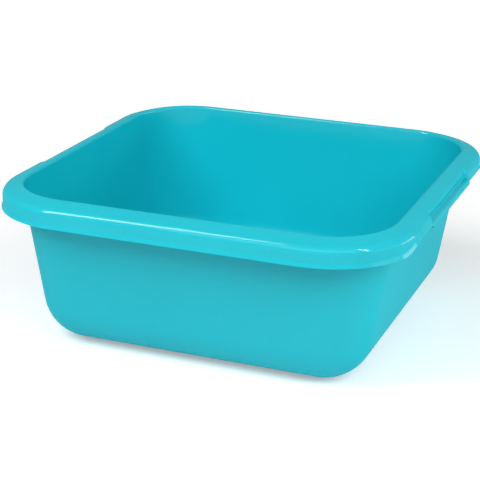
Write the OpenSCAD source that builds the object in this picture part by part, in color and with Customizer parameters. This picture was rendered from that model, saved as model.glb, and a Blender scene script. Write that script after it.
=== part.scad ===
// Square washing up bowl, moulded in one shot: base, leaning walls, rolled rim and two hand grips.
// All sizes are in millimetres. The origin is on the table under the middle of the bowl, +Z is up,
// the grips are on the +X and -X sides, and the front is towards -Y.
// A section is drawn in a plane that stands square to the rim: its x is the distance outwards from
// the line of the corner centres, and its y is the height above the table. One section swept round
// the four sides and the four corners makes a whole ring of the bowl.

/* [Bowl] */
// Width over the rim, the same from side to side and from front to back
bowl_w = 320; // [290:1:380]
// Height from the table to the top of the rim
bowl_h = 124; // [110:1:150]
// Corner radius of the rim's outer edge, seen from above
corner_r = 67; // [62:1:85]
// Thickness of the walls, the bend and the rim
wall_t = 2; // [1.4:0.1:2.2]
// Lean of the walls away from upright, in degrees
wall_lean = 9; // [6:0.5:10]

/* [Base] */
// Thickness of the flat floor
floor_t = 2; // [1.4:0.1:3]
// Corner radius of the flat floor, the bend up to the wall takes what is left
floor_corner_r = 1.2; // [1:0.2:12]
// Height of the ring that the bowl stands on
foot_h = 1; // [0.6:0.1:2]
// Width over the stand ring
foot_w = 168; // [140:1:180]
// Width of the stand ring's flat face
foot_t = 5; // [3:0.5:8]
// Corner radius of the stand ring
foot_corner_r = 26; // [12:1:40]

/* [Rim] */
// Reach of the rim, from the inside of the wall to the outer edge
rim_w = 18; // [16:0.5:24]
// Rounding where the inside of the wall turns over into the rim
crown_r = 2.5; // [2.4:0.1:4]
// Fall of the rim's top band towards the outside, in degrees
band_slope = 18; // [8:1:24]
// Rounding where the top band turns down into the skirt
roll_r = 6; // [4:0.5:7]
// Depth of the skirt below the top of the rim, at the front and the rear
skirt_h = 17.5; // [15.5:0.5:24]
// How far the lower lip of the skirt flares outwards
lip_out = 1.6; // [0.8:0.1:2]
// Height of the flared lip
lip_h = 3.2; // [2.4:0.1:4]
// Length over which the skirt's edge climbs from the corner to the grip side
rise_l = 24; // [12:1:40]

/* [Grips] */
// Length of each grip
grip_l = 115; // [90:1:140]
// Depth of the finger groove, measured in from the outer edge
groove_d = 5; // [4:0.5:6]
// Rounding at the top of the groove
groove_r = 2.5; // [2:0.1:3]
// Depth of the grip's lower edge below the top of the rim
grip_h = 14; // [13.5:0.5:18]
// Height of the lip below the groove
grip_lip_h = 4.6; // [3.5:0.1:5]
// Thickness of the web that closes each end of the groove
web_t = 2; // [1.4:0.1:4]

/* [Hidden] */
$fn = 96;
plastic = [0.18, 0.76, 0.82];

// Distance from the bowl's axis to the corner centres, along each side
straight = bowl_w/2 - corner_r;
// Direction square to the inside of the wall, and square to the rim's top band
wall_n = [-cos(wall_lean), sin(wall_lean)];
band_n = [sin(band_slope), cos(band_slope)];

// Centre of the crown rounding, and where the wall ends on it, inside and outside
crown_c = [corner_r - rim_w + crown_r, bowl_h - crown_r];
wall_top_in = crown_c + crown_r*wall_n;
wall_top_out = crown_c + (crown_r - wall_t)*wall_n;

// Outer radius of the bend that touches both the wall and the floor's underside
bend_r = ((wall_top_out[0] - floor_corner_r)*cos(wall_lean)
          - (wall_top_out[1] - foot_h)*sin(wall_lean))/(1 - sin(wall_lean));
bend_c = [floor_corner_r, foot_h + bend_r];
wall_foot_out = bend_c - bend_r*wall_n;
wall_foot_in = bend_c - (bend_r - wall_t)*wall_n;

// Start of the top band, its outer end and the centre of the roll
skirt_out = corner_r - lip_out;
band_in = crown_c + crown_r*band_n;
band_out_x = skirt_out - roll_r + roll_r*band_n[0];
band_out = [band_out_x, band_in[1] - (band_out_x - band_in[0])*tan(band_slope)];
roll_c = band_out - roll_r*band_n;

// Lower edges: front and rear, the grip sides beside the grips, and the grips themselves
skirt_z = bowl_h - skirt_h;
side_z = roll_c[1] - lip_h;
grip_z = bowl_h - grip_h;

// Face of the finger groove, centre of its top rounding and height of its ledge
face_x = corner_r - groove_d;
groove_cut_x = face_x - groove_r + groove_r*band_n[0];
groove_top = [groove_cut_x, band_in[1] - (groove_cut_x - band_in[0])*tan(band_slope)];
groove_c = groove_top - groove_r*band_n;
ledge_z = grip_z + grip_lip_h;
// Size of the small bevel on the outer edge of the ledge
edge_c = 0.6;

// Pieces of a section
// Curved strip round c: outer radius r, thickness t, from angle a to angle b
module arc_strip(c, r, t, a, b) {
    far = 2*r;
    translate(c) intersection() {
        difference() {
            circle(r);
            circle(r - t);
        }
        polygon([[0, 0], for (s = [0:2]) far*[cos(a + (b - a)*s/2), sin(a + (b - a)*s/2)]]);
    }
}

// Slice of a full disc round c, of radius r, from angle a to angle b
module sector(c, r, a, b) {
    translate(c) intersection() {
        circle(r);
        polygon([[0, 0], for (s = [0:2]) 2*r*[cos(a + (b - a)*s/2), sin(a + (b - a)*s/2)]]);
    }
}

// Flared lip with its lower edge at height z: upright inside, hollow curve outside
module lip_section(z) {
    flare_r = (lip_h*lip_h + lip_out*lip_out)/(2*lip_out);
    difference() {
        translate([skirt_out - wall_t, z]) square([wall_t + lip_out, lip_h]);
        translate([skirt_out + flare_r, z + lip_h]) circle(flare_r);
    }
}

module floor_outline() {
    square([2*(straight + floor_corner_r), 2*straight], center = true);
    square([2*straight, 2*(straight + floor_corner_r)], center = true);
    for (x = [-1, 1], y = [-1, 1])
        translate([x*straight, y*straight]) circle(floor_corner_r);
}

// Square of width w with corners of radius r
module rounded_square(w, r) {
    square([w, w - 2*r], center = true);
    square([w - 2*r, w], center = true);
    for (x = [-1, 1], y = [-1, 1])
        translate([x*(w/2 - r), y*(w/2 - r)]) circle(r);
}

module bend_section() {
    arc_strip(bend_c, bend_r, wall_t, -90, -wall_lean);
}

module wall_section() {
    polygon([wall_foot_out, wall_top_out, wall_top_in, wall_foot_in]);
}

module crown_and_band_section() {
    arc_strip(crown_c, crown_r, wall_t, 90 - band_slope, 180 - wall_lean);
    polygon([band_in, band_out, band_out - wall_t*band_n, band_in - wall_t*band_n]);
}

module band_section() {
    crown_and_band_section();
    arc_strip(roll_c, roll_r, wall_t, 0, 90 - band_slope);
}

// Front and rear skirt below the roll, down to the flared lip
module skirt_section() {
    translate([skirt_out - wall_t, skirt_z + lip_h]) square([wall_t, roll_c[1] - skirt_z - lip_h]);
    lip_section(skirt_z);
}

// Grip: rounded top, upright face of the groove, ledge and lip, one closed outline and one arc
module grip_section() {
    back_x = face_x - wall_t;
    lip_x = corner_r - wall_t;
    arc_strip(groove_c, groove_r, wall_t, 0, 90 - band_slope);
    polygon([[face_x, groove_c[1]], [back_x, groove_c[1]], [back_x, ledge_z - wall_t],
             [lip_x, ledge_z - wall_t], [lip_x, grip_z], [corner_r, grip_z],
             [corner_r, ledge_z - edge_c], [corner_r - edge_c, ledge_z], [face_x, ledge_z]]);
}

// Everything outside the line where a grip leaves the rim band
module grip_zone() {
    polygon([groove_top + band_n, groove_top - wall_t*band_n, [face_x - wall_t, groove_c[1]],
             [face_x - wall_t, 0], [2*corner_r, 0], [2*corner_r, bowl_h]]);
}

// Web at each end of a groove: fills the rim's own outline outside the groove's face
module web_section() {
    intersection() {
        union() {
            polygon([band_in, band_out, roll_c, [roll_c[0], grip_z], [band_in[0], grip_z]]);
            sector(roll_c, roll_r, 0, 90 - band_slope);
            translate([roll_c[0], grip_z]) square([skirt_out - roll_c[0], roll_c[1] - grip_z]);
        }
        grip_zone();
    }
}

// Ways of sweeping a section round the bowl
// Corner k, counted from the rear right corner towards the rear left one
module corner(k) {
    rotate(90*k) translate([straight, straight, 0]) rotate_extrude(angle = 90) children();
}

// Side k: 0 right, 1 rear, 2 left, 3 front, between two places along it
module side(k, from = -straight, to = straight) {
    rotate(90*k) translate([straight, to, 0]) rotate([90, 0, 0]) linear_extrude(to - from) children();
}

module ring() {
    for (k = [0:3]) {
        corner(k) children();
        side(k) children();
    }
}

// Part of the skirt under a sloping line, from the grip side's edge down to the corner's edge
module rise_cut(k) {
    start = straight - rise_l/2;
    rotate(90*k) translate([straight, 0, 0]) rotate([90, 0, 90]) linear_extrude(2*corner_r)
        polygon([[start, 0], [start, side_z], [straight, side_z], [straight + rise_l, skirt_z],
                 [straight + rise_l, 0]]);
}

module floor_panel() {
    color(plastic) translate([0, 0, foot_h]) linear_extrude(floor_t) floor_outline();
}

module stand_ring() {
    color(plastic) linear_extrude(foot_h) difference() {
        rounded_square(foot_w, foot_corner_r);
        rounded_square(foot_w - 2*foot_t, foot_corner_r - foot_t);
    }
}

module base_bend() {
    color(plastic) ring() bend_section();
}

module basin_wall() {
    color(plastic) ring() wall_section();
}

module rim_band() {
    color(plastic) difference() {
        ring() band_section();
        side(0, -grip_l/2, grip_l/2) grip_zone();
        side(2, -grip_l/2, grip_l/2) grip_zone();
    }
}

module front_skirt() {
    color(plastic) {
        side(3) skirt_section();
        difference() {
            union() {
                corner(2) skirt_section();
                corner(3) skirt_section();
            }
            mirror([0, 1, 0]) rise_cut(0);
            rise_cut(2);
        }
        side(0, -straight, -grip_l/2) lip_section(side_z);
        side(2, grip_l/2, straight) lip_section(side_z);
    }
}

module rear_skirt() {
    mirror([0, 1, 0]) front_skirt();
}

module right_grip() {
    color(plastic) {
        side(0, web_t - grip_l/2, grip_l/2 - web_t) grip_section();
        for (y = [-grip_l/2, grip_l/2 - web_t])
            side(0, y, y + web_t) {
                web_section();
                grip_section();
            }
    }
}

module left_grip() {
    rotate(180) right_grip();
}

floor_panel();
stand_ring();
base_bend();
basin_wall();
rim_band();
front_skirt();
rear_skirt();
left_grip();
right_grip();
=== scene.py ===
# %% [markdown]
# A square washing up bowl in glossy turquoise plastic.
#
# The real bowl is one injection moulding. Its floor, walls, rim and hand grips run into each other with
# smooth roundings, and the gloss shows every one of them as a soft highlight. The solids from the CAD step
# have the right sizes, but they are loose triangles, which would break up the highlights. So this script
# models the same bowl again as smooth meshes that lie on them, gives it a moulded plastic finish and sets
# up a plain studio.

# %% Load the frame
import math

import bpy
from mathutils import Matrix, Vector


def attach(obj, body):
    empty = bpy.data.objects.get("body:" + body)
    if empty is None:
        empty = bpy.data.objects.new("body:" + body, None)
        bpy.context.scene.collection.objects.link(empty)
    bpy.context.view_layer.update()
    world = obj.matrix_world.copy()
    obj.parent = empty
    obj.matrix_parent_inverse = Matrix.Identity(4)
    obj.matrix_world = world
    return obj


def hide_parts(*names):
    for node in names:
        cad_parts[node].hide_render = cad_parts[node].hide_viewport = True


def short(values, digits=2):
    """Rounds the numbers of a place, for printing."""
    return [round(value, digits) for value in values]


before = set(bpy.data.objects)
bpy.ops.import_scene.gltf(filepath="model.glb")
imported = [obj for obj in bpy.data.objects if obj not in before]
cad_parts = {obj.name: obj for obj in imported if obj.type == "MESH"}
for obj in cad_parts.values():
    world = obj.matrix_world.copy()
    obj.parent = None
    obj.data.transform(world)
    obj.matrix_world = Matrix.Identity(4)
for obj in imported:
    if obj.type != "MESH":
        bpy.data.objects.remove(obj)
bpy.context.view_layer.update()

# %% [markdown]
# Every size is written once, in millimetres, the way a mould maker's drawing gives it. MM turns it into
# Blender's metres. The bowl's section is a line that starts on the floor, climbs the wall, rolls over the
# rim and ends at the skirt's lip. Its x is counted outwards from the line of the corner centres, so the
# same section serves for the sides and for the corners.

# %% Sizes of the basin
MM = 0.001
WIDTH = 320
HEIGHT = 124
CORNER_RADIUS = 67
WALL = 2
LEAN = math.radians(9)
FOOT_HEIGHT = 1
FLOOR_CORNER_RADIUS = 1.2

STRAIGHT = WIDTH / 2 - CORNER_RADIUS
print("corner centres", STRAIGHT, "mm from the middle, both ways")

# %% Sizes of the rim
RIM_WIDTH = 18
CROWN_RADIUS = 2.5
BAND_SLOPE = math.radians(18)
ROLL_RADIUS = 6
SKIRT_DEPTH = 17.5
LIP_OUT = 1.6
LIP_HEIGHT = 3.2

skirt_face = CORNER_RADIUS - LIP_OUT
skirt_edge = HEIGHT - SKIRT_DEPTH
print("the skirt's face is", round(skirt_face, 2), "mm out and its edge", skirt_edge, "mm up")

# %% [markdown]
# The places where one surface of the section hands over to the next follow from those sizes. Each line
# touches its arcs, because a mould has no creases there and the gloss would show one at once. The places
# could be typed in as numbers, but worked out like this they stay right when a size changes.

# %% From the wall over the crown to the band
wall_normal = Vector((-math.cos(LEAN), math.sin(LEAN)))
band_normal = Vector((math.sin(BAND_SLOPE), math.cos(BAND_SLOPE)))
crown_centre = Vector((CORNER_RADIUS - RIM_WIDTH + CROWN_RADIUS, HEIGHT - CROWN_RADIUS))
wall_top = crown_centre + CROWN_RADIUS * wall_normal
band_start = crown_centre + CROWN_RADIUS * band_normal


def band_height(x):
    """Height of the sloping band at a distance x."""
    return band_start.y - (x - band_start.x) * math.tan(BAND_SLOPE)


print("the wall ends at", short(wall_top), "and the band starts at", short(band_start))

# %% The bend between floor and wall
outer_wall_top = crown_centre + (CROWN_RADIUS - WALL) * wall_normal
bend_radius = (
    (outer_wall_top.x - FLOOR_CORNER_RADIUS) * math.cos(LEAN)
    - (outer_wall_top.y - FOOT_HEIGHT) * math.sin(LEAN)
) / (1 - math.sin(LEAN))
bend_centre = Vector((FLOOR_CORNER_RADIUS, FOOT_HEIGHT + bend_radius))
floor_edge = bend_centre - Vector((0, bend_radius - WALL))
wall_foot = bend_centre - (bend_radius - WALL) * wall_normal
print("the bend's outer radius is", round(bend_radius, 2), "mm, and it ends at", short(wall_foot))

# %% The roll at the rim's outer edge
band_end_x = skirt_face - ROLL_RADIUS + ROLL_RADIUS * band_normal.x
band_end = Vector((band_end_x, band_height(band_end_x)))
roll_centre = band_end - ROLL_RADIUS * band_normal
side_edge = roll_centre.y - LIP_HEIGHT
print("the roll starts at", short(band_end), "and the edge beside the grips is", round(side_edge, 2), "up")

# %% [markdown]
# The section is drawn as by hand, with one vertex. Extruding the vertex draws a straight stretch, and
# spinning it round a centre draws an arc with even steps. A curve would be quicker to draw, but its arcs
# only come close to round ones, and these meshes have to lie on the solids. The pen remembers where the
# vertex is.

# %% A pen for straight stretches
pen = Vector((0, 0))


def start_line(place):
    """Puts a single vertex at a place in the section, on the right side of the bowl."""
    bpy.ops.object.select_all(action="DESELECT")
    bpy.ops.mesh.primitive_plane_add(size=MM)
    bpy.ops.object.mode_set(mode="EDIT")
    bpy.ops.mesh.merge(type="CENTER")
    bpy.ops.transform.translate(value=((STRAIGHT + place.x) * MM, 0, place.y * MM))
    pen.xy = place


def line_to(place, pieces=1):
    """Draws a straight stretch from the pen to a place."""
    step = (place - pen) / pieces
    for _ in range(pieces):
        bpy.ops.mesh.extrude_region_move(
            TRANSFORM_OT_translate={"value": (step.x * MM, 0, step.y * MM)}
        )
    pen.xy = place


print("the pen's zero is", STRAIGHT, "mm to the right of the bowl's middle")

# %% The pen's arcs
def arc_about(centre, degrees, pieces):
    """Turns the pen round a centre, clockwise as seen from the front."""
    angle = math.radians(degrees)
    bpy.ops.mesh.spin(
        steps=pieces,
        angle=-angle,
        center=((STRAIGHT + centre.x) * MM, 0, centre.y * MM),
        axis=(0, 1, 0),
    )
    arm = pen - centre
    pen.xy = (
        centre.x + arm.x * math.cos(angle) + arm.y * math.sin(angle),
        centre.y - arm.x * math.sin(angle) + arm.y * math.cos(angle),
    )


print("the bend will turn by", round(90 - math.degrees(LEAN)), "degrees")

# %% [markdown]
# One quarter of the bowl comes from sweeping the section along half a side, round a corner and along half
# of the next side. Two mirrors make the other quarters. A cube with bevelled edges would be a shorter way
# to a rounded square, but its corners couldn't follow the section, whose every point turns round the same
# centre. The places where the sweep stops along a side include the seam beside the grip, so that the grip
# can be let into the rim.

# %% Where the sweep stops
GRIP_LENGTH = 115
SEAM_BESIDE_GRIP = 3
GRIP_SEAM = GRIP_LENGTH / 2 + SEAM_BESIDE_GRIP
SIDE_STOPS = [20, 40, GRIP_SEAM, 70, 80, STRAIGHT]
STOPS_BACK = SIDE_STOPS[-2::-1] + [0]
print("a side stops at", SIDE_STOPS, "mm from its middle")

# %% Sweeping a quarter
CORNER_STEPS = 28
X_AXIS = 0
Y_AXIS = 1


def extrude_in_stops(axis, reached, stops):
    """Extrudes what is selected along an axis, from the place reached to each stop in turn."""
    for stop in stops:
        step = [0, 0, 0]
        step[axis] = (stop - reached) * MM
        bpy.ops.mesh.extrude_region_move(TRANSFORM_OT_translate={"value": step})
        reached = stop


def sweep_quarter():
    """Sweeps the drawn section round a quarter of the bowl."""
    bpy.ops.mesh.select_all(action="SELECT")
    extrude_in_stops(Y_AXIS, 0, SIDE_STOPS)
    bpy.ops.mesh.spin(
        steps=CORNER_STEPS,
        angle=math.radians(-90),
        center=(STRAIGHT * MM, STRAIGHT * MM, 0),
        axis=(0, 0, 1),
    )
    extrude_in_stops(X_AXIS, STRAIGHT, STOPS_BACK)


print("a corner is swept in", CORNER_STEPS, "steps of", round(90 / CORNER_STEPS, 1), "degrees")

# %% [markdown]
# The pieces go through the same few steps, so each step is a helper. Vertices are picked by their place,
# as one would pick them with the mouse. Normals have to point to the visible side before the skin gets its
# thickness, because the thickness is laid on behind them.

# %% Naming a piece and picking its vertices
NEAR = 0.01


def active_piece(name):
    """Leaves edit mode and names the piece."""
    bpy.ops.object.mode_set(mode="OBJECT")
    piece = bpy.context.object
    piece.name = name
    piece.data.name = name
    return piece


def select_vertices(piece, test):
    """Selects, in edit mode, the vertices whose place passes a test in millimetres, and counts them."""
    bpy.ops.object.mode_set(mode="EDIT")
    bpy.ops.mesh.select_mode(type="VERT")
    bpy.ops.mesh.select_all(action="DESELECT")
    bpy.ops.object.mode_set(mode="OBJECT")
    chosen = 0
    for vertex in piece.data.vertices:
        vertex.select = test(*(vertex.co / MM))
        chosen += vertex.select
    bpy.ops.object.mode_set(mode="EDIT")
    return chosen


print("a vertex is picked when it is right to", NEAR, "mm")

# %% Turning a skin's visible side out
MERGE = 0.02


def face_up(piece, sample):
    """Turns the skin's normals to its visible side: the faces that pass the test point upwards."""
    bpy.ops.object.mode_set(mode="EDIT")
    bpy.ops.mesh.select_all(action="SELECT")
    bpy.ops.mesh.remove_doubles(threshold=MERGE * MM)
    bpy.ops.mesh.normals_make_consistent(inside=False)
    bpy.ops.object.mode_set(mode="OBJECT")
    upward = sum(face.normal.z for face in piece.data.polygons if sample(*(face.center / MM)))
    if upward < 0:
        piece.data.flip_normals()


print("vertices merge up to", MERGE, "mm apart")

# %% Mirroring and thickening
def apply_modifier(piece, kind, **values):
    """Adds a modifier with its values and applies it."""
    modifier = piece.modifiers.new(kind.lower(), kind)
    for key, value in values.items():
        setattr(modifier, key, value)
    bpy.ops.object.modifier_apply(modifier=modifier.name)


def mirror_quarters(piece):
    """Mirrors a quarter to the whole bowl."""
    apply_modifier(piece, "MIRROR", use_axis=(True, True, False), merge_threshold=MERGE * MM)


def thicken(piece):
    """Gives a skin the wall's thickness, away from its visible side."""
    apply_modifier(piece, "SOLIDIFY", thickness=WALL * MM, offset=-1, use_even_offset=True)


print("a skin becomes", WALL, "mm thick")

# %% Finishing a piece
SMOOTH_UP_TO = math.radians(35)


def finish_piece(piece, *nodes):
    """Smooths a piece, puts it on the bowl's body and lets it stand for its CAD nodes."""
    bpy.ops.object.select_all(action="DESELECT")
    piece.select_set(True)
    bpy.context.view_layer.objects.active = piece
    bpy.ops.object.shade_smooth_by_angle(angle=SMOOTH_UP_TO)
    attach(piece, "root")
    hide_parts(*nodes)
    print(piece.name, len(piece.data.vertices), "vertices")


print("faces that meet at up to", round(math.degrees(SMOOTH_UP_TO)), "degrees are shaded as one")

# %% [markdown]
# The basin is the floor, the large rounding above it and the leaning walls, one even skin on the real bowl.
# It could be a box with its lower edges bevelled, but the bevel would not touch a leaning wall without a
# crease. So its section is drawn and swept. The section starts at the line of the corner centres, and the
# rest of the floor, a square between the four corner centres, is drawn inwards from there. The skin ends a
# little below the rim's crown, on the straight wall, where a seam doesn't show.

# %% The basin's section
SEAM_BELOW_CROWN = 1.5
BEND_STEPS = 20
WALL_STEPS = 6

wall_direction = (wall_top - wall_foot).normalized()
basin_top = wall_top - SEAM_BELOW_CROWN * wall_direction
start_line(Vector((0, floor_edge.y)))
line_to(floor_edge)
arc_about(bend_centre, -(90 - math.degrees(LEAN)), BEND_STEPS)
print("the bend was drawn to", short(pen), "and the wall starts at", short(wall_foot))
line_to(basin_top, WALL_STEPS)
sweep_quarter()
basin = active_piece("basin")
print("a quarter of the basin has", len(basin.data.vertices), "vertices")

# %% The basin's floor and thickness
chosen = select_vertices(
    basin,
    lambda x, y, z: abs(x - STRAIGHT) < NEAR and y < STRAIGHT + NEAR and z < floor_edge.y + NEAR,
)
print("the floor is drawn inwards from", chosen, "vertices")
extrude_in_stops(X_AXIS, STRAIGHT, STOPS_BACK)
face_up(basin, lambda x, y, z: z < floor_edge.y + NEAR)
mirror_quarters(basin)
thicken(basin)
finish_piece(basin, "floor_panel", "base_bend", "basin_wall")

# %% [markdown]
# The rim turns over the top of the wall, slopes down as a flat band, rolls over and hangs down as a skirt
# that ends in a flared lip, which stiffens the edge. The flare could be a straight bevel, but a small arc
# catches the light as softly as the real one. It reaches a little less far out than the solids' lip,
# because the photograph shows less.

# %% The lip's flare
LIP_REACH = 1.1
FLARE_RADIUS = 1.5

flare_centre = Vector((skirt_face + FLARE_RADIUS, skirt_edge + LIP_HEIGHT))
past_centre = LIP_REACH - FLARE_RADIUS
flare_angle = math.degrees(
    math.asin(FLARE_RADIUS / math.hypot(past_centre, LIP_HEIGHT)) + math.atan(past_centre / LIP_HEIGHT)
)
print("the flare turns out by", round(flare_angle, 1), "degrees")

# %% The rim's section
GRIP_SEAM_X = 52.9
CROWN_STEPS = 12
BAND_PIECES = 3
ROLL_STEPS = 12
LIP_STEPS = 4

band_seam = Vector((GRIP_SEAM_X, band_height(GRIP_SEAM_X)))
start_line(basin_top)
line_to(wall_top)
arc_about(crown_centre, 90 - math.degrees(LEAN) + math.degrees(BAND_SLOPE), CROWN_STEPS)
print("the crown was drawn to", short(pen), "and the band starts at", short(band_start))
line_to(band_seam)
line_to(band_end, BAND_PIECES)
arc_about(roll_centre, 90 - math.degrees(BAND_SLOPE), ROLL_STEPS)
line_to(flare_centre - Vector((FLARE_RADIUS, 0)))
arc_about(flare_centre, -flare_angle, LIP_STEPS)
line_to(Vector((skirt_face + LIP_REACH, skirt_edge)))
print("the lip ends at", short(pen))
sweep_quarter()
rim = active_piece("rim")

# %% [markdown]
# Beside the grips the skirt is shorter. Its lip climbs over the last stretch of each corner. A boolean cut
# would take the lip away there, so the lower vertices of every place in that stretch are moved up together
# instead. The climb starts and ends softly. A trace of the straight stretch above the lip is left, so that
# no face shrinks to nothing.

# %% The skirt's climb to the sides
RISE_LENGTH = 24
SKIRT_REMAINDER = 0.12
RIGHT_SIDE_FROM = 20

full_climb = side_edge - skirt_edge - SKIRT_REMAINDER


def climb(y):
    """How far the skirt's lip has climbed, from 0 in the corner to 1 beside the grips."""
    way = min(max((STRAIGHT + RISE_LENGTH - y) / RISE_LENGTH, 0), 1)
    return way * way * (3 - 2 * way)


chosen = select_vertices(
    rim,
    lambda x, y, z: z < skirt_edge + LIP_HEIGHT + NEAR and x > STRAIGHT + RIGHT_SIDE_FROM,
)
bpy.ops.object.mode_set(mode="OBJECT")
for vertex in rim.data.vertices:
    if vertex.select:
        vertex.co.z += climb(vertex.co.y / MM) * full_climb * MM
print(chosen, "vertices of the lip climb by up to", round(full_climb, 2), "mm")

# %% [markdown]
# Each grip takes the place of a stretch of the rim. Here its window is made, by deleting the faces between
# the seam on the band, the seam beside the grip and the lip. The rim then gets its other quarters and its
# thickness as the basin did.

# %% The windows for the grips
faces_before = len(rim.data.polygons)
select_vertices(rim, lambda x, y, z: x > STRAIGHT + GRIP_SEAM_X - NEAR and y < GRIP_SEAM + NEAR)
bpy.ops.mesh.select_mode(type="FACE")
bpy.ops.mesh.delete(type="FACE")
bpy.ops.object.mode_set(mode="OBJECT")
print("the window takes", faces_before - len(rim.data.polygons), "faces of the quarter")
face_up(rim, lambda x, y, z: z > band_end.y)
mirror_quarters(rim)
thicken(rim)
finish_piece(rim, "rim_band", "front_skirt", "rear_skirt")

# %% [markdown]
# Each grip is a groove for the fingertips with a ledge and a lip under it. Over the grip the band falls a
# little more steeply and turns over with a wide rounding. The groove could be cut out of the rim, but the
# cut would leave sharp edges where the moulding has soft ones. So a grid is laid over two sections: the
# rim's own at the grip's ends, and the groove's in between. Both need the same number of points, one for
# each column of the grid.

# %% Rounding a line's corners
def rounded(points, radii, steps):
    """The points of a line whose inner corners are rounded with the given radii and steps."""
    line = [points[0]]
    for before, corner, after, radius, count in zip(points, points[1:], points[2:], radii, steps):
        back = (before - corner).normalized()
        ahead = (after - corner).normalized()
        half = back.angle(ahead) / 2
        reach = radius / math.tan(half)
        centre = corner + (back + ahead).normalized() * radius / math.sin(half)
        first = corner + back * reach - centre
        last = corner + ahead * reach - centre
        sweep = first.angle_signed(last)
        for step in range(count + 1):
            turn = sweep * step / count
            arm_x = first.x * math.cos(turn) + first.y * math.sin(turn)
            arm_y = -first.x * math.sin(turn) + first.y * math.cos(turn)
            line.append(centre + Vector((arm_x, arm_y)))
    return line + [points[-1]]


square_corner = [Vector((0, 0)), Vector((1, 0)), Vector((1, 1))]
print("a square corner becomes", [short(point) for point in rounded(square_corner, [0.5], [2])])

# %% The groove's section
GROOVE_DEPTH = 5
GRIP_DEPTH = 14
GRIP_LIP_HEIGHT = 4.6
GRIP_BAND_SLOPE = math.radians(22)
FALL_AFTER_SEAM = 0.6
LEDGE_FALL = 0.3
FALL_RADIUS = 3.4
LEDGE_RADIUS = 1.4
GRIP_LIP_RADIUS = 0.9
ROUNDING_STEPS = [7, 4, 5]

groove_face = CORNER_RADIUS - GROOVE_DEPTH
grip_edge = HEIGHT - GRIP_DEPTH
ledge_height = grip_edge + GRIP_LIP_HEIGHT
fall_start = band_seam + Vector((FALL_AFTER_SEAM, -FALL_AFTER_SEAM * math.tan(BAND_SLOPE)))
fall = groove_face - fall_start.x
corners = [
    fall_start,
    fall_start + Vector((fall, -fall * math.tan(GRIP_BAND_SLOPE))),
    Vector((groove_face, ledge_height)),
    Vector((CORNER_RADIUS - LEDGE_FALL, ledge_height - LEDGE_FALL)),
    Vector((CORNER_RADIUS, grip_edge)),
]
groove_line = [band_seam]
groove_line += rounded(corners, [FALL_RADIUS, LEDGE_RADIUS, GRIP_LIP_RADIUS], ROUNDING_STEPS)
print("the groove's section has", len(groove_line), "points and its ledge is", ledge_height, "mm up")

# %% The rim's own section at the grip's ends
def arc_points(centre, radius, start, end, steps):
    """The points of an arc from one angle to another, counted from straight outwards."""
    points = []
    for step in range(steps + 1):
        angle = start + (end - start) * step / steps
        points.append(centre + radius * Vector((math.cos(angle), math.sin(angle))))
    return points


end_edge = side_edge - SKIRT_REMAINDER
end_flare_centre = Vector((flare_centre.x, end_edge + LIP_HEIGHT))
roll_line = [band_seam.lerp(band_end, step / BAND_PIECES) for step in range(BAND_PIECES)]
roll_line += arc_points(roll_centre, ROLL_RADIUS, math.pi / 2 - BAND_SLOPE, 0, ROLL_STEPS)
roll_line += arc_points(
    end_flare_centre, FLARE_RADIUS, math.pi, math.pi + math.radians(flare_angle), LIP_STEPS
)
roll_line.append(Vector((skirt_face + LIP_REACH, end_edge)))
print("the rim's own section has", len(roll_line), "points and ends at", short(roll_line[-1]))

# %% [markdown]
# The change from the rim's section to the groove's takes two millimetres, most of it in the middle one. It
# gives the small web that shows as a light line at each end of the grip, and the faint step across the
# band. The grid's rows are set close together there and far apart along the grip. Each row has a share:
# 1 is all groove, and 0 is all rim.

# %% The grid's rows
WEB_ROWS = [(-1.5, 1), (-1.1, 0.97), (-0.8, 0.85), (-0.5, 0.5), (-0.2, 0.15), (0.1, 0.03), (0.5, 0)]

half_rows = [(0, 1), (SIDE_STOPS[0], 1), (SIDE_STOPS[1], 1)]
half_rows += [(GRIP_LENGTH / 2 + beyond_end, share) for beyond_end, share in WEB_ROWS]
half_rows.append((GRIP_SEAM, 0))
rows = [(-y, share) for y, share in reversed(half_rows[1:])] + half_rows
print("a grip has", len(rows), "rows, from", rows[0][0], "to", rows[-1][0], "mm")

# %% [markdown]
# The grid starts as a square one metre wide round the origin. A vertex's place in that square tells its
# column and row, and so the point of the two sections that it belongs to. The left grip is the right one
# turned half round the bowl's middle.

# %% The grips
def make_grip(name, side):
    """Makes one grip: side is 1 on the right and -1 on the left."""
    last_column = len(groove_line) - 1
    last_row = len(rows) - 1
    bpy.ops.object.select_all(action="DESELECT")
    bpy.ops.mesh.primitive_grid_add(x_subdivisions=last_column, y_subdivisions=last_row, size=1)
    grip = active_piece(name)
    for vertex in grip.data.vertices:
        column = round((vertex.co.x + 0.5) * last_column)
        y, share = rows[round((vertex.co.y + 0.5) * last_row)]
        place = roll_line[column].lerp(groove_line[column], share)
        vertex.co = Vector((side * (STRAIGHT + place.x), side * y, place.y)) * MM
    face_up(grip, lambda x, y, z: z > band_end.y)
    thicken(grip)
    finish_piece(grip, name.replace("_shell", ""))
    return grip


right_grip = make_grip("right_grip_shell", 1)
left_grip = make_grip("left_grip_shell", -1)

# %% [markdown]
# The ring under the floor keeps the flat base off the worktop. A torus would be round, and this bowl needs
# a rounded square. So a square gets round corners by a bevel, an inset draws the ring's inner edge and the
# middle is deleted. The ring is then extruded, with small bevels where it meets the table.

# %% The stand ring's outline
FOOT_WIDTH = 168
FOOT_BREADTH = 5
FOOT_CORNER_RADIUS = 26
FOOT_CORNER_STEPS = 14

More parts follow.
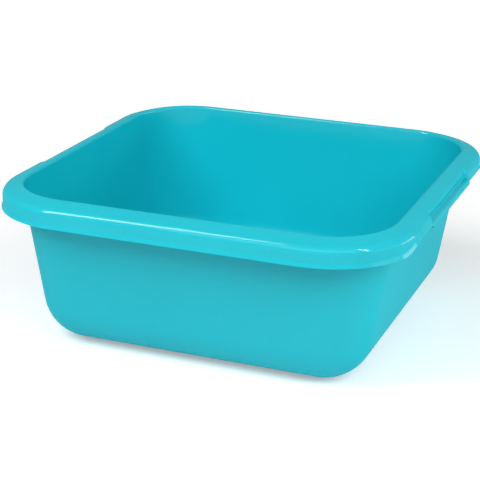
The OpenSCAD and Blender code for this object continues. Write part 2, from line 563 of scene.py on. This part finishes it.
bpy.ops.object.select_all(action="DESELECT")
bpy.ops.mesh.primitive_plane_add(size=FOOT_WIDTH * MM)
bpy.ops.object.mode_set(mode="EDIT")
bpy.ops.mesh.select_all(action="SELECT")
bpy.ops.mesh.bevel(
    offset=FOOT_CORNER_RADIUS * MM,
    segments=FOOT_CORNER_STEPS,
    affect="VERTICES",
    offset_type="OFFSET",
)
bpy.ops.mesh.select_all(action="SELECT")
bpy.ops.mesh.inset(thickness=FOOT_BREADTH * MM)
bpy.ops.mesh.delete(type="FACE")
ring = active_piece("stand_foot")
print("the ring's outline has", len(ring.data.vertices), "vertices")

# %% The stand ring's height and edges
FOOT_EDGE = 0.3
FOOT_EDGE_STEPS = 2

bpy.ops.object.mode_set(mode="EDIT")
bpy.ops.mesh.select_all(action="SELECT")
bpy.ops.mesh.extrude_region_move(TRANSFORM_OT_translate={"value": (0, 0, FOOT_HEIGHT * MM)})
bpy.ops.mesh.select_all(action="SELECT")
bpy.ops.mesh.normals_make_consistent(inside=False)
select_vertices(ring, lambda x, y, z: z < NEAR)
bpy.ops.mesh.bevel(offset=FOOT_EDGE * MM, segments=FOOT_EDGE_STEPS, affect="EDGES")
bpy.ops.object.mode_set(mode="OBJECT")
finish_piece(ring, "stand_ring")

# %% [markdown]
# The bowl is polypropylene from a polished mould. The pigment goes all the way through, so under a light it
# is one even turquoise, with a soft, clear reflection on top. The shader's own reflection would be the
# first choice, but it climbs steeply where a wall is seen at a slant, and draws a grey veil that the
# photograph doesn't show. So it is switched off, and a small share of a coat with a high index takes its
# place. That coat mirrors nearly the same share of a lamp straight on as at a slant.

# %% The plastic and its gloss
PLASTIC_INDEX = 1.49
GLOSS_SHARE = 0.13
GLOSS_INDEX = 2.2
GLOSS_ROUGHNESS = 0.09

plastic = bpy.data.materials.new("turquoise_moulded_plastic")
plastic.use_nodes = True
plastic_tree = plastic.node_tree
plastic_tree.nodes.clear()
output = plastic_tree.nodes.new("ShaderNodeOutputMaterial")
shader = plastic_tree.nodes.new("ShaderNodeBsdfPrincipled")
plastic_tree.links.new(shader.outputs["BSDF"], output.inputs["Surface"])
shader.inputs["IOR"].default_value = PLASTIC_INDEX
shader.inputs["Specular IOR Level"].default_value = 0
shader.inputs["Coat Weight"].default_value = GLOSS_SHARE
shader.inputs["Coat IOR"].default_value = GLOSS_INDEX
shader.inputs["Coat Roughness"].default_value = GLOSS_ROUGHNESS
straight_on = GLOSS_SHARE * ((GLOSS_INDEX - 1) / (GLOSS_INDEX + 1)) ** 2
print("the gloss mirrors", round(straight_on, 3), "straight on and never more than", GLOSS_SHARE)

# %% [markdown]
# Where the melt flowed, the colour drifts by a few hundredths. The roughness under the coat drifts as well,
# for viewers that leave the coat out and give the plastic a reflection of its own. Both drifts are noises
# on the piece's own coordinates, so they stay in place when the bowl moves. A painted texture could show
# more, but there is nothing on this bowl to paint.

# %% Noise on the pieces
coordinates = plastic_tree.nodes.new("ShaderNodeTexCoord")


def noise(scale, detail):
    """A noise on the piece's own coordinates, of a scale in waves per metre."""
    texture = plastic_tree.nodes.new("ShaderNodeTexNoise")
    texture.inputs["Scale"].default_value = scale
    texture.inputs["Detail"].default_value = detail
    plastic_tree.links.new(coordinates.outputs["Object"], texture.inputs["Vector"])
    return texture.outputs["Fac"]


def between(tree, value, low, high, start=0, end=1):
    """Turns a value from start to end into a number from low to high."""
    fit = tree.nodes.new("ShaderNodeMapRange")
    fit.inputs["From Min"].default_value = start
    fit.inputs["From Max"].default_value = end
    fit.inputs["To Min"].default_value = low
    fit.inputs["To Max"].default_value = high
    tree.links.new(value, fit.inputs["Value"])
    return fit.outputs["Result"]


print("the patterns follow the", coordinates.outputs["Object"].name, "coordinates")

# %% Colour and roughness
DEEP_TURQUOISE = (0.005, 0.475, 0.575, 1)
PALE_TURQUOISE = (0.007, 0.495, 0.595, 1)
FLOW_SCALE = 9
FLOW_LOW = 0.3
FLOW_HIGH = 0.7
POLISH_SCALE = 30
LEAST_ROUGH = 0.16
MOST_ROUGH = 0.22

flow = plastic_tree.nodes.new("ShaderNodeValToRGB")
flow.color_ramp.elements[0].position = FLOW_LOW
flow.color_ramp.elements[0].color = DEEP_TURQUOISE
flow.color_ramp.elements[1].position = FLOW_HIGH
flow.color_ramp.elements[1].color = PALE_TURQUOISE
plastic_tree.links.new(noise(FLOW_SCALE, detail=3), flow.inputs["Fac"])
plastic_tree.links.new(flow.outputs["Color"], shader.inputs["Base Color"])
roughness = between(plastic_tree, noise(POLISH_SCALE, detail=4), LEAST_ROUGH, MOST_ROUGH)
plastic_tree.links.new(roughness, shader.inputs["Roughness"])
print("the colour drifts from", DEEP_TURQUOISE[:3], "to", PALE_TURQUOISE[:3])

# %% [markdown]
# Moulded walls are never quite flat. They sink a little where they cool last, and their skin has a fine
# orange peel. Neither changes the outline, so both are bumps and not geometry: they only bend the
# highlights. The peel lies on top of the wide waves.

# %% Waves and orange peel
WAVE_SCALE = 14
WAVE_STRENGTH = 0.1
WAVE_HEIGHT = 0.4
PEEL_SCALE = 900
PEEL_STRENGTH = 0.05
PEEL_HEIGHT = 0.02


def bump(height, strength, millimetres):
    """Bends the surface's light by a noise of a height in millimetres."""
    node = plastic_tree.nodes.new("ShaderNodeBump")
    node.inputs["Strength"].default_value = strength
    node.inputs["Distance"].default_value = millimetres * MM
    plastic_tree.links.new(height, node.inputs["Height"])
    return node


wave = bump(noise(WAVE_SCALE, detail=2), WAVE_STRENGTH, WAVE_HEIGHT)
peel = bump(noise(PEEL_SCALE, detail=2), PEEL_STRENGTH, PEEL_HEIGHT)
plastic_tree.links.new(wave.outputs["Normal"], peel.inputs["Normal"])
plastic_tree.links.new(peel.outputs["Normal"], shader.inputs["Normal"])
plastic_tree.links.new(peel.outputs["Normal"], shader.inputs["Coat Normal"])
print("waves are about", round(1000 / WAVE_SCALE), "mm wide and grains", round(1000 / PEEL_SCALE, 1), "mm")

# %% [markdown]
# One moulding has one plastic. The CAD solids get it too, so that they look the same wherever they show.

# %% Putting the plastic on
pieces = [basin, rim, right_grip, left_grip, ring]
solids = list(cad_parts.values())
for piece in pieces + solids:
    piece.data.materials.clear()
    piece.data.materials.append(plastic)
print("plastic on", len(pieces), "pieces and", len(solids), "solids")

# %% [markdown]
# The studio is a pale paper floor that runs on past every side of the picture, under pale air. More lamps
# would make it white, but they would bleach the bowl as well. So the camera, reflections and glass see the
# air as plain white and the floor a little whiter than the lamps make it. Far from the bowl, where less
# lamp light falls, the floor is whitened more. The light that bounces on to the bowl isn't changed.

# %% Telling who looks at a surface
ALSO_DIRECT = ("Is Glossy Ray", "Is Transmission Ray")


def seen_directly(tree):
    """Gives 1 where the camera, a reflection or glass looks at a surface, and 0 where light bounces."""
    rays = tree.nodes.new("ShaderNodeLightPath")
    seen = rays.outputs["Is Camera Ray"]
    for kind in ALSO_DIRECT:
        either = tree.nodes.new("ShaderNodeMath")
        either.operation = "MAXIMUM"
        tree.links.new(seen, either.inputs[0])
        tree.links.new(rays.outputs[kind], either.inputs[1])
        seen = either.outputs["Value"]
    return seen


print("besides the camera's rays, these count as looking:", ALSO_DIRECT)

# %% The paper floor
FLOOR_SIZE = 30
PAPER_GREY = 0.9
PAPER_ROUGHNESS = 0.9
WHITE = (1, 1, 1, 1)

bpy.ops.object.select_all(action="DESELECT")
bpy.ops.mesh.primitive_plane_add(size=FLOOR_SIZE)
floor = bpy.context.object
floor.name = "studio_floor"
paper = bpy.data.materials.new("pale_paper")
paper.use_nodes = True
paper_tree = paper.node_tree
paper_shader = paper_tree.nodes["Principled BSDF"]
paper_shader.inputs["Base Color"].default_value = (PAPER_GREY, PAPER_GREY, PAPER_GREY, 1)
paper_shader.inputs["Roughness"].default_value = PAPER_ROUGHNESS
paper_shader.inputs["Emission Color"].default_value = WHITE
print("the floor is", FLOOR_SIZE, "m wide")

# %% Whitening the floor
NEAR_LIFT = 0.34
FAR_LIFT = 0.85
LIFT_START = 0.4
LIFT_END = 1.3

paper_place = paper_tree.nodes.new("ShaderNodeTexCoord")
from_middle = paper_tree.nodes.new("ShaderNodeVectorMath")
from_middle.operation = "LENGTH"
paper_tree.links.new(paper_place.outputs["Object"], from_middle.inputs[0])
distance = from_middle.outputs["Value"]
lift_here = between(paper_tree, distance, NEAR_LIFT, FAR_LIFT, LIFT_START, LIFT_END)
lift = paper_tree.nodes.new("ShaderNodeMath")
lift.operation = "MULTIPLY"
paper_tree.links.new(seen_directly(paper_tree), lift.inputs[0])
paper_tree.links.new(lift_here, lift.inputs[1])
paper_tree.links.new(lift.outputs["Value"], paper_shader.inputs["Emission Strength"])
floor.data.materials.append(paper)
print("the lift grows from", NEAR_LIFT, "to", FAR_LIFT, "between", LIFT_START, "and", LIFT_END, "m out")

# %% The air
AIR_LIGHT = 0.05

world = bpy.data.worlds.new("studio_air")
bpy.context.scene.world = world
world.use_nodes = True
air = world.node_tree
air.nodes.clear()
air_output = air.nodes.new("ShaderNodeOutputWorld")
white_air = air.nodes.new("ShaderNodeBackground")
white_air.inputs["Color"].default_value = WHITE
air.links.new(between(air, seen_directly(air), AIR_LIGHT, 1), white_air.inputs["Strength"])
air.links.new(white_air.outputs["Background"], air_output.inputs["Surface"])
print("the air lights the bowl with", AIR_LIGHT, "and looks like 1")

# %% [markdown]
# A gloss shows what it mirrors, so each lamp is placed by the highlight that it has to draw. A lamp is a
# flat panel that looks at the bowl's middle. Its azimuth runs from the front to the right, and its
# elevation up from level. Sun lamps would be simpler, but they mirror as dots and not as soft lines.

# %% A soft lamp
TARGET = Vector((0, 0, 66)) * MM


def soft_lamp(name, azimuth, elevation, distance, width, height, power):
    """Hangs a soft lamp that looks at the bowl, with its size in metres and its power in watts."""
    turn, rise = math.radians(azimuth), math.radians(elevation)
    direction = Vector(
        (math.sin(turn) * math.cos(rise), -math.cos(turn) * math.cos(rise), math.sin(rise))
    )
    lamp = bpy.data.lights.new(name, "AREA")
    lamp.shape = "RECTANGLE"
    lamp.size = width
    lamp.size_y = height
    lamp.energy = power
    lamp_object = bpy.data.objects.new(name, lamp)
    lamp_object.location = TARGET + direction * distance
    lamp_object.rotation_euler = direction.to_track_quat("Z", "Y").to_euler()
    bpy.context.scene.collection.objects.link(lamp_object)
    print(name, "at", short(lamp_object.location), "with", power, "W")


print("the lamps look at", short(TARGET, 3))

# %% [markdown]
# A tall strip at the front left draws the long bright line on the front roll. A narrow strip on the right
# draws the spot on the front right corner.

# %% The strips that draw the highlights
soft_lamp("key_lamp", azimuth=-39, elevation=46, distance=1.6, width=0.22, height=1.1, power=15.5)
soft_lamp("right_lamp", azimuth=66, elevation=37, distance=1.6, width=0.08, height=0.9, power=9.5)

# %% [markdown]
# A wide panel over the front gives the even light on the front wall. It hangs high enough for the rim to
# keep its shadow on that wall. A low panel at the right and a low lamp behind it brighten the right side.
# The rear one stays out of the direction that the straight right side mirrors to the camera, where it would
# draw a false bright line.

# %% The panels that fill in
soft_lamp("front_panel", azimuth=14, elevation=41, distance=1.8, width=2.4, height=0.8, power=12.5)
soft_lamp("side_panel", azimuth=88, elevation=12, distance=1.6, width=1.0, height=0.3, power=1.8)
soft_lamp("rear_lamp", azimuth=124, elevation=8, distance=1.6, width=0.8, height=0.36, power=6.5)

# %% [markdown]
# The camera looks down at the bowl from the front right, as the photograph does, from just over a metre
# away. The small offsets and the roll come from matching the bowl's edges. A constraint that tracks the
# bowl would be easier, but it leaves no room for the roll, so the camera's three directions are worked out.

# %% The camera's directions
VIEW_TURN = math.radians(21.12)
VIEW_RISE = math.radians(19.79)
VIEW_ROLL = math.radians(0.82)

back = Vector(
    (
        math.sin(VIEW_TURN) * math.cos(VIEW_RISE),
        -math.cos(VIEW_TURN) * math.cos(VIEW_RISE),
        math.sin(VIEW_RISE),
    )
)
level_right = Vector((math.cos(VIEW_TURN), math.sin(VIEW_TURN), 0))
level_up = back.cross(level_right)
right = level_right * math.cos(VIEW_ROLL) + level_up * math.sin(VIEW_ROLL)
up = -level_right * math.sin(VIEW_ROLL) + level_up * math.cos(VIEW_ROLL)
print("the camera's right, up and back are", short(right), short(up), short(back))

# %% The camera
VIEW_DISTANCE = 1134.03
OFFSET_RIGHT = -8.79
OFFSET_UP = -6.36
SENSOR = 36
FOCAL = 107.29

camera_data = bpy.data.cameras.new("camera")
camera_data.sensor_width = SENSOR
camera_data.lens = FOCAL
camera = bpy.data.objects.new("camera", camera_data)
bpy.context.scene.collection.objects.link(camera)
camera.location = TARGET + (right * OFFSET_RIGHT + up * OFFSET_UP + back * VIEW_DISTANCE) * MM
camera.rotation_euler = Matrix((right, up, back)).transposed().to_euler()
bpy.context.scene.camera = camera
bpy.context.scene.view_settings.view_transform = "Standard"
print("camera at", short(camera.location, 3))
